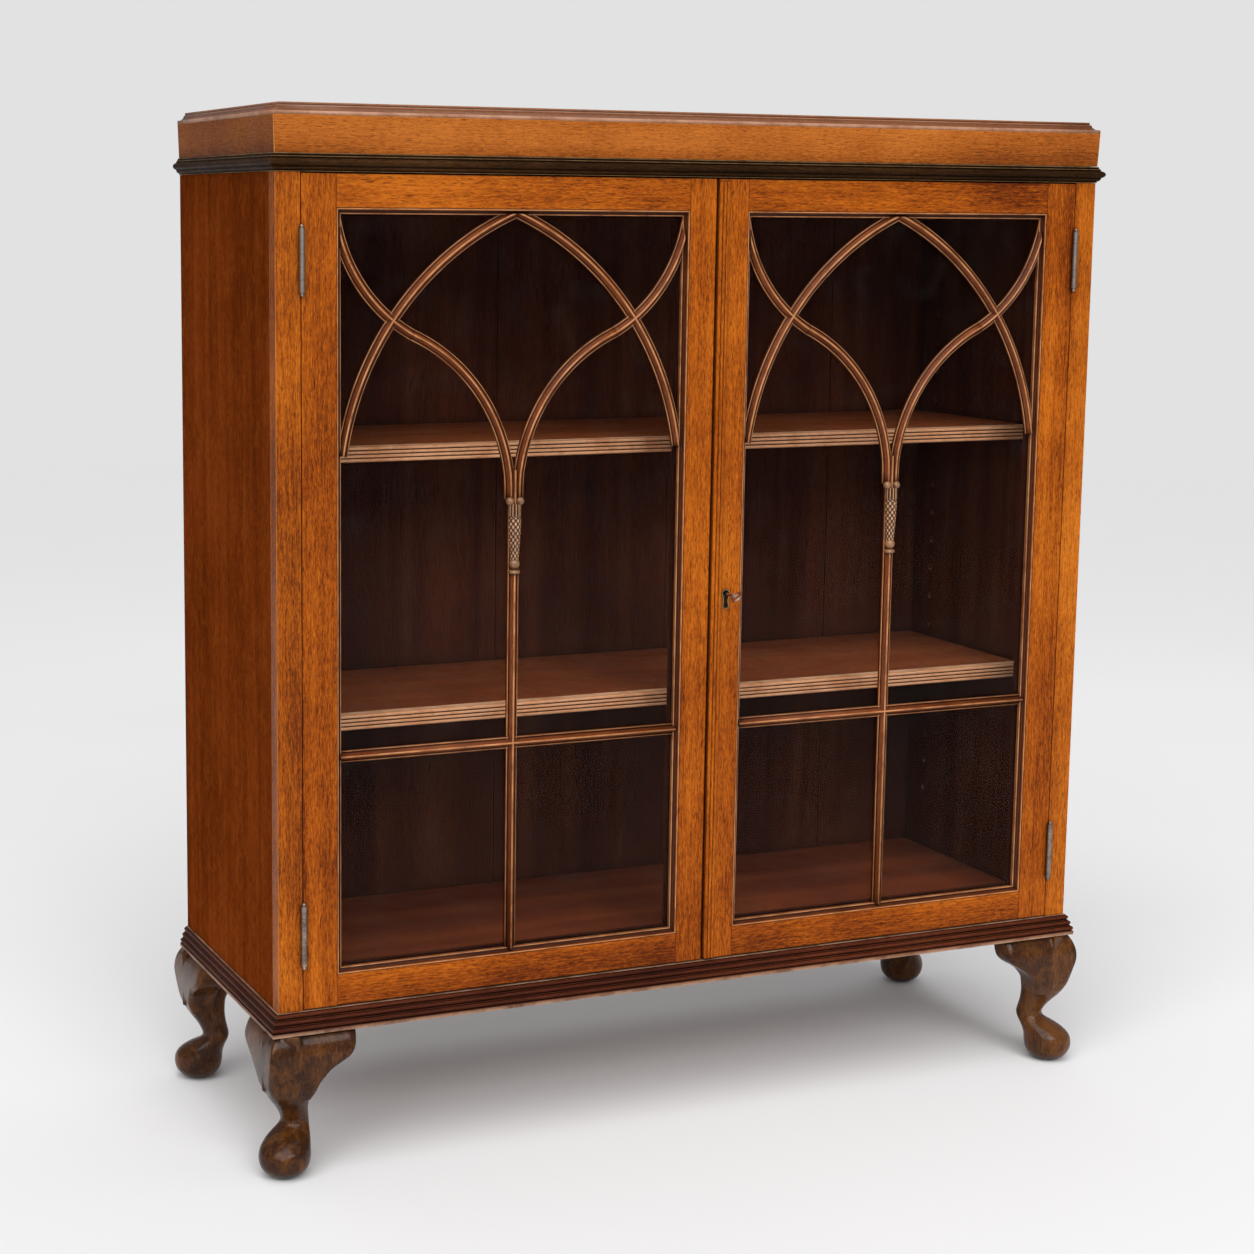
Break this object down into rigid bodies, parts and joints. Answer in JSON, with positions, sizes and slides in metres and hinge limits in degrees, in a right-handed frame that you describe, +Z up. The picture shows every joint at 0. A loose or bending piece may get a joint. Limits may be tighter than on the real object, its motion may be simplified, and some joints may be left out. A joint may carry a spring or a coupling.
{
  "type": "bookcase with adjustable shelves",
  "caption": "Low glazed bookcase on short cabriole legs, with hinged doors under pointed-arch glazing bars and shelves on movable pegs.",
  "frame": {"origin": "on the floor, in the middle of the whole footprint, key and feet included", "axes": "+X to the right along the front, the doors face -Y, +Z up"},
  "size_m": [1.1216, 0.4248, 1.2195],
  "materials": {
    "side_mahogany": "satin polish",
    "front_mahogany": "satin polish",
    "dark_moulding": "satin polish",
    "glazing_bar_wood": "satin polish",
    "leg_walnut": "gloss polish",
    "inside_wood": "dull",
    "shelf_wood": "satin polish",
    "rough_wood": "unfinished",
    "clear_glass": "clear",
    "old_brass": "dull, aged",
    "hinge_metal": "dull, aged",
    "lock_steel": "plain"
  },
  "bodies": {
    "case": {"back_boards": "inside_wood", "back_left_leg": "leg_walnut", "back_leg_ears": "leg_walnut", "back_right_leg": "leg_walnut", "base_back_rail": "rough_wood", "base_front_rail": "rough_wood", "base_mouldings": "dark_moulding", "base_side_rails": "rough_wood", "case_bottom": "inside_wood", "case_sub_top": "inside_wood", "cornice_mouldings": "dark_moulding", "cornice_rails": "rough_wood", "fixed_hinge_leaves": "hinge_metal", "fixed_hinge_screws": "old_brass", "frieze_boards": "front_mahogany", "front_left_leg": "leg_walnut", "front_leg_ears": "leg_walnut", "front_right_leg": "leg_walnut", "hinge_pins": "hinge_metal", "left_front_stile": "front_mahogany", "left_side_panel": "side_mahogany", "leg_glue_blocks": "rough_wood", "lower_shelf_pegs": "inside_wood", "right_front_stile": "front_mahogany", "right_side_panel": "side_mahogany", "top_board": "front_mahogany", "upper_shelf_pegs": "inside_wood"},
    "left_door": {"left_door_back_beads": "inside_wood", "left_door_bolt_plates": "old_brass", "left_door_carving": "glazing_bar_wood", "left_door_front_mouldings": "glazing_bar_wood", "left_door_glass": "clear_glass", "left_door_hinge_leaves": "hinge_metal", "left_door_hinge_screws": "old_brass", "left_door_hinge_stile": "front_mahogany", "left_door_meeting_stile": "front_mahogany", "left_door_rails": "front_mahogany", "left_door_strike_plate": "old_brass", "left_door_tracery": "glazing_bar_wood"},
    "right_door": {"right_door_back_beads": "inside_wood", "right_door_carving": "glazing_bar_wood", "right_door_closing_bead": "glazing_bar_wood", "right_door_front_mouldings": "glazing_bar_wood", "right_door_glass": "clear_glass", "right_door_hinge_leaves": "hinge_metal", "right_door_hinge_screws": "old_brass", "right_door_hinge_stile": "front_mahogany", "right_door_meeting_stile": "front_mahogany", "right_door_rails": "front_mahogany", "right_door_tracery": "glazing_bar_wood", "escutcheon": "old_brass", "lock_case": "lock_steel"},
    "left_door_top_bolt": {"left_door_top_bolt": "old_brass"},
    "left_door_bottom_bolt": {"left_door_bottom_bolt": "old_brass"},
    "lock_bolt": {"lock_bolt": "lock_steel"},
    "key": {"key": "hinge_metal"},
    "upper_shelf": {"upper_shelf_board": "shelf_wood", "upper_shelf_edge": "shelf_wood"},
    "lower_shelf": {"lower_shelf_board": "shelf_wood", "lower_shelf_edge": "shelf_wood"}
  },
  "joints": [
    {"name": "left_door_swing", "type": "hinge", "parent": "case", "child": "left_door", "pos_m": [-0.5105, -0.1822, 0.67], "axis": [0, 0, -1], "range_deg": [0, 110]},
    {"name": "right_door_swing", "type": "hinge", "parent": "case", "child": "right_door", "pos_m": [0.5105, -0.1822, 0.67], "axis": [0, 0, 1], "range_deg": [0, 110]},
    {"name": "key_turn", "type": "hinge", "parent": "right_door", "child": "key", "pos_m": [0.026, -0.1784, 0.6515], "axis": [0, -1, 0], "range_deg": [0, 90]},
    {"name": "lock_bolt_throw", "type": "slide", "parent": "right_door", "child": "lock_bolt", "axis": [-1, 0, 0], "range_m": [0, 0.008]},
    {"name": "top_bolt_slide", "type": "slide", "parent": "left_door", "child": "left_door_top_bolt", "axis": [0, 0, 1], "range_m": [0, 0.008]},
    {"name": "bottom_bolt_slide", "type": "slide", "parent": "left_door", "child": "left_door_bottom_bolt", "axis": [0, 0, -1], "range_m": [0, 0.008]},
    {"name": "upper_shelf_lift", "type": "slide", "parent": "case", "child": "upper_shelf", "axis": [0, 0, 1], "range_m": [0, 0.28]},
    {"name": "lower_shelf_lift", "type": "slide", "parent": "case", "child": "lower_shelf", "axis": [0, 0, 1], "range_m": [0, 0.27]}
  ],
  "couplings": [
    {"joint": "key_turn", "follows": "lock_bolt_throw", "rad_per_m": 196.35}
  ]
}
